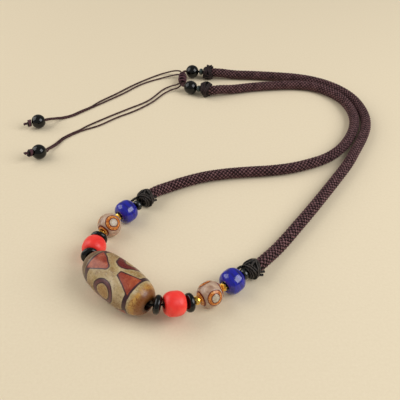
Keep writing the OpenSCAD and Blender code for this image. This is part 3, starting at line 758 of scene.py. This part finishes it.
def bead(name, item, material, slot, roll=0.0, around=72, n=40, wobble=0.0, **more):
    kind, middle, yaw, rise, length = item
    _, r, face, bore, sq, mouth = KIND[kind]
    g = Geo()
    g.lathe(bead_profile(length, r, face, bore, sq, mouth, n, **more), around)
    return g.piece(name + "_turned", material, slot, (name,), pose_of(middle, yaw, rise, roll), wobble=wobble, grain=0.35)


g = Geo()
g.lathe(bead_profile(DZI_L, DZI_R, 2.6, 1.5, 2.75, 2.1, 110, edge=0.6), 168)
dzi = g.piece("dzi_bead_turned", M_DZI, "dzi_agate", ("dzi_bead",), pose_of(dzi_middle, DZI_HEADING), wobble=0.1, grain=0.16)


def faceted_seed(name, item, turn):
    """A small cut metal seed: a bored drum with three belts of facets, each turned against the next."""
    kind, middle, yaw, rise, length = item
    h, n = length / 2 + 0.12, 9
    rings = [(-h, 1.15, 0), (-h * 0.5, 1.66, 0), (-h * 0.05, 1.74, 0.5), (h * 0.5, 1.64, 0), (h, 1.15, 0.5), (h, 0.85, 0.5),
             (-h, 0.85, 0)]
    g = Geo()
    v, q, t = [], [], []
    for x, r, off in rings:
        v += [(x, r * math.cos(2 * pi * (k + off) / n), r * math.sin(2 * pi * (k + off) / n)) for k in range(n)]
    for i in range(len(rings)):
        j = (i + 1) % len(rings)
        for k in range(n):
            m = (k + 1) % n
            a, b, c, d = i * n + k, i * n + m, j * n + k, j * n + m
            if rings[i][2] == rings[j][2]:
                q.append((a, b, d, c))
            elif rings[j][2] > rings[i][2]:
                t += [(a, b, c), (b, d, c)]
            else:
                t += [(a, d, c), (a, b, d)]
    g.add(np.array(v), q, t)
    return g.piece(name + "_cut", M_GOLD, "gold_seed", (name,), pose_of(middle, yaw, rise, turn), faceted=True)


for side, row, eye_mat in (("right", row_right, M_EYE_R), ("left", row_left, M_EYE_L)):
    bead(f"disc_{side}_inner", row[0], M_BLACK, "black_bead")
    bead(f"coral_{side}", row[1], M_CORAL, "red_bead", around=96, n=48, wobble=0.07)
    bead(f"disc_{side}_outer", row[2], M_BLACK, "black_bead")
    faceted_seed(f"seed_{side}_inner", row[3], 12)
    bead(f"eye_bead_{side}", row[4], eye_mat, "etched_agate", around=96, n=56, wobble=0.03)
    faceted_seed(f"seed_{side}_outer", row[5], 30)
    bead(f"blue_bead_{side}", row[6], M_BLUE, "blue_bead", around=96, n=48, wobble=0.09)
    bead(f"spacer_{side}", row[7], M_SPACER, "black_bead", around=56, n=28)
for side, row in (("right", rear_right), ("left", rear_left)):
    bead(f"rear_spacer_{side}", row[1], M_TEAL, "teal_spacer", around=48, n=24)
    bead(f"rear_bead_{side}", row[2], M_BLACK, "black_bead", around=80)

# ---------------------------------------------------------------- knots


def loop_path(x0, x1, tilt, start, turns, radius, limit, step=0.22, face=0.0):
    """Turns of a strand wound round the X axis, in planes that lean by tilt about face, going from x0 to x1."""
    a = np.linspace(start, start + turns * 2 * pi, max(12, int(turns * 2 * pi * radius / step)))
    x = x0 + (x1 - x0) * (a - start) / (a[-1] - start) + tilt * np.sin(a - face)
    r = radius * np.maximum(1 - (np.abs(x) / limit) ** 3, 0.05) ** (1 / 3)
    return np.stack([x, r * np.cos(a), r * np.sin(a)], 1)


def round_path(points, step=0.2):
    """A smooth path through points given as place along the axis, angle round it in degrees, and radius."""
    return smooth([(x, r * math.cos(math.radians(a)), r * math.sin(math.radians(a))) for x, a, r in points], step)


def wind(geo, path, r, sides=10):
    out = unit(path * [0.25, 1, 1])
    geo.sweep(path, r, r * 0.92, sides, normal=out)


def wound_knot(name, item, way, face, big=1.0):
    """A knot tied round the cord's end: one group of turns by the beads, one by the cord that leans the other way, two
    strands that bridge them, and the two cut ends."""
    kind, middle, yaw, rise, length = item
    g = Geo()
    g.spindle([(-2.2, 0), (-2.2, 1.6), (-1.5, 2.6), (0, 2.85), (1.5, 2.8), (2.2, 2.4), (2.2, 0)], 24)
    f = math.radians(face)
    r = 0.53 * big
    wind(g, loop_path(-2.2, 2.0, 0.2, 0.4, 5.3, 2.95, 3.3, face=f), 0.46)
    wind(g, loop_path(-2.5, -2.3, 0.1, 1.0, 1.6, 2.2, 9, face=f), 0.46)
    wind(g, loop_path(-1.9, 0.5, 1.0, f + 2.6, 2.4, 3.4 * big, 3.9, face=f), r)
    wind(g, loop_path(0.2, 1.7, -1.5, f + 2.9, 1.6, 3.66 * big, 3.9, face=f), r)
    wind(g, round_path([(-1.0, face - 30, 3.2), (-0.2, face - 38, 3.75 * big), (0.9, face - 42, 3.85 * big), (2.2, face - 40, 3.4)]), r)
    wind(g, round_path([(-2.6, face - 82, 2.6), (-2.1, face - 68, 3.5), (-0.6, face - 58, 3.9 * big), (0.9, face - 56, 3.95 * big),
                        (2.2, face - 50, 3.5), (2.8, face - 36, 2.8)]), r)
    wind(g, round_path([(-2.6, face - 104, 2.6), (-1.8, face - 88, 3.6), (-0.3, face - 76, 3.95 * big), (1.2, face - 74, 3.8 * big),
                        (2.5, face - 64, 3.2), (2.8, face - 52, 2.7)]), r)
    wind(g, round_path([(0.9, face + 30, 3.2), (1.7, face + 38, 3.5), (2.5, face + 41, 3.75), (3.2, face + 42, 3.95)]), r)
    wind(g, round_path([(0.2, face + 48, 3.3), (1.0, face + 55, 3.7), (1.8, face + 58, 4.05), (2.3, face + 59, 4.3)]), r)
    for v in g.v:
        v[:, 0] *= way
    if way < 0:
        g.q = [q[:, ::-1] for q in g.q]
        g.t = [t[:, ::-1] for t in g.t]
        g.uq = [u[:, ::-1] for u in g.uq]
    pose = pose_of(middle, yaw, rise)
    turn, at = np.array(pose.to_3x3()), np.array(pose.translation)
    for v in g.v:                      # strands pressed flat where they lie on the surface
        w = v * MM @ turn.T + at
        w[:, 2] = np.maximum(w[:, 2], 0.02 * MM)
        v[:] = (w - at) @ turn / MM
    return g.piece(name + "_wound", M_KNOT if big == 1.0 else M_KNOT_REAR, "black_cord", (name,), pose)


wound_knot("knot_right", row_right[8], 1, 133)
wound_knot("knot_left", row_left[8], 1, 123)
wound_knot("rear_knot_right", rear_right[0], -1, 41, 1.09)
wound_knot("rear_knot_left", rear_left[0], -1, 205, 1.09)


def string_side(row):
    out = []
    for item in row[:8]:
        out += [on_axis(item, 0)] if item[0] in (DISC, SEED, SPACER) else [on_axis(item, -0.9), on_axis(item, 0.9)]
    return out + [on_axis(row[8], -0.97), on_axis(row[8], -0.72)]


dzi_dir = direction(DZI_HEADING)
string = string_side(row_left)[::-1] + [dzi_middle - 0.48 * DZI_L * dzi_dir, dzi_middle + 0.48 * DZI_L * dzi_dir] + string_side(row_right)
g = Geo()
twisted(g, smooth(string, 0.4), 0.5, 3, 2.4, 6)
for row in (row_right, row_left):  # the loop of cord that passes over the small spacer, from the blue bead's mouth to the knot
    item = row[7]
    kind, middle, yaw, rise, length = item
    pose = np.array(pose_of(middle, yaw, rise))
    a = math.radians(58)
    y, z = math.sin(a), math.cos(a)
    x_knot = float((on_axis(row[8], -1) - middle) @ direction(yaw, rise))
    x_blue = float((on_axis(row[6], 1) - middle) @ direction(yaw, rise))
    local = np.array([(x_blue - 0.6, 1.5 * y, 1.5 * z), (x_blue + 0.15, 2.1 * y, 2.1 * z), (x_blue + 0.9, 2.85 * y, 2.85 * z),
                      (0.0, 3.1 * y, 3.1 * z), (x_knot - 0.5, 2.95 * y, 2.95 * z), (x_knot + 0.7, 2.4 * y, 2.4 * z)])
    world = local @ pose[:3, :3].T + pose[:3, 3] / MM
    twisted(g, smooth(world, 0.3), 0.6, 3, 2.6, 6)
g.piece("bead_string_twisted", M_STRING, "black_cord", ("bead_string",))

for side, row, route in (("right", rear_right, REAR_THREAD_RIGHT), ("left", rear_left, REAR_THREAD_LEFT)):
    g = Geo()
    inner = [on_axis(row[0], 0.7), on_axis(row[1], 0), on_axis(row[2], -0.8), on_axis(row[2], 0.9)]
    for w in (-0.42, 0.42):
        line = smooth(beside([tuple(p) for p in inner] + [tuple(np.array(p) + SHIFT) for p in route], w), 0.3)
        twisted(g, line, 0.48, 3, 2.2, 5)
    g.piece(f"rear_thread_{side}_pair", M_THREAD, "brown_thread", (f"rear_thread_{side}",))

# the sliding knot: a column of flat knots round both pairs of threads
g = Geo()
g.spindle([(-4.3, 0), (-4.3, 1.0), (-3.9, 1.45), (3.9, 1.45), (4.3, 1.0), (4.3, 0)], 20)
for i in range(6):
    x = -3.7 + 1.48 * i
    g_way = 1 if i % 2 else -1
    wind(g, loop_path(x - 0.25, x + 0.25, 0.5 * g_way, 0.3, 1.08, 1.95, 5.2, 0.16), 0.6)
    wind(g, loop_path(x + 0.25, x + 0.45, -0.6 * g_way, 1.9, 0.62, 2.15, 5.2, 0.16), 0.55)
g.piece("slider_knot_tied", M_SLIDER, "brown_thread", ("slider_knot",), pose_of(np.array([20.6, 163.35, 3.6]) + SHIFT, 90))

# ---------------------------------------------------------------- tails with their beads and stopper knots

for where, end, routes, last in (("upper", END_UPPER, (TAIL_UPPER_A, TAIL_UPPER_B), TAIL_UPPER_END),
                                 ("lower", END_LOWER, (TAIL_LOWER_A, TAIL_LOWER_B), TAIL_LOWER_END)):
    middle = np.array([end[0], end[1], END_R]) + SHIFT
    g = Geo()
    g.lathe(bead_profile(2 * math.sqrt(END_R ** 2 - 2.56), END_R, 1.6, 1.3, 2, 0, 44), 80)
    end_bead = g.piece(f"end_bead_{where}_turned", M_BLACK, "black_bead", (f"end_bead_{where}",), pose_of(middle, end[2], end[3]))
    g = Geo()
    g.spindle([(-1.2, 0), (-1.2, 1.0), (-0.4, 1.4), (0.5, 1.3), (1.0, 0.7), (1.1, 0)], 16)
    wind(g, loop_path(-0.8, 0.3, 0.3, 0.5, 1.8, 1.45, 2.3, 0.12), 0.46)
    wind(g, loop_path(0.2, -0.3, -0.66, 2.6, 0.95, 1.56, 2.3, 0.12), 0.44)
    for w in (-0.4, 0.4):
        twisted(g, smooth([(0.4, 0.3 * w, 0), (1.2, w, 0.05), (2.0, w * 1.1, 0.15), (2.9, w * 1.3, -0.1)], 0.15), 0.44, 3, 2.0, 6)
    knot = g.piece(f"end_knot_{where}_tied", M_SLIDER, "brown_thread", (f"end_knot_{where}",),
                   pose_of(middle + 4.95 * direction(end[2], end[3]), end[2], end[3]))
    for letter, route, w in zip("ab", routes, (0.6, -0.6)):
        path = tail_path(route, last, end, w)
        g = Geo()
        twisted(g, path, 0.5, 3, 2.3, 5)
        thread = g.piece(f"tail_{where}_{letter}_thread", M_THREAD, "brown_thread", (f"tail_{where}_{letter}",))
        declare(thread, path, round(length_of(path), 3))

# ---------------------------------------------------------------- floor and light

me = bpy.data.meshes.new("floor")
me.from_pydata([(-4, -4, 0), (4, -4, 0), (4, 4, 0), (-4, 4, 0)], [], [(0, 1, 2, 3)])
m = Mat("floor_cream", 0.75, Specular_IOR_Level=0.2)
m.set("Base Color", m.ramp(m.noise(900, 4, 0.7), (0.3, rgb(233, 217, 187)), (0.7, rgb(238, 223, 194))))
me.materials.append(m.m)
floor = bpy.data.objects.new("floor", me)
scene.collection.objects.link(floor)

world = bpy.data.worlds.new("soft_room")
world.use_nodes = True
scene.world = world
background = world.node_tree.nodes["Background"]
background.inputs[0].default_value = (0.92, 0.90, 0.86, 1)
background.inputs[1].default_value = 0.34


def softbox(name, toward, distance, size, power, colour=(1, 1, 1), shape="SQUARE", size_y=None):
    """A square area light in a direction from the middle of the necklace's front."""
    data = bpy.data.lights.new(name, "AREA")
    data.shape, data.size, data.energy, data.color = ("RECTANGLE" if size_y else shape), size, power, colour
    if size_y:
        data.size_y = size_y
    o = bpy.data.objects.new(name, data)
    scene.collection.objects.link(o)
    aim = Vector((0.0, -0.02, 0.0))
    d = Vector(toward).normalized()
    o.location = aim + d * distance
    o.rotation_euler = (-d).to_track_quat("-Z", "Y").to_euler()
    return o


softbox("window_left", (-0.80, 0.17, 0.60), 0.85, 0.75, 4.0, (1.0, 0.985, 0.96))
softbox("window_right", (0.74, -0.19, 0.62), 0.85, 0.6, 4.9, (0.97, 0.985, 1.0))
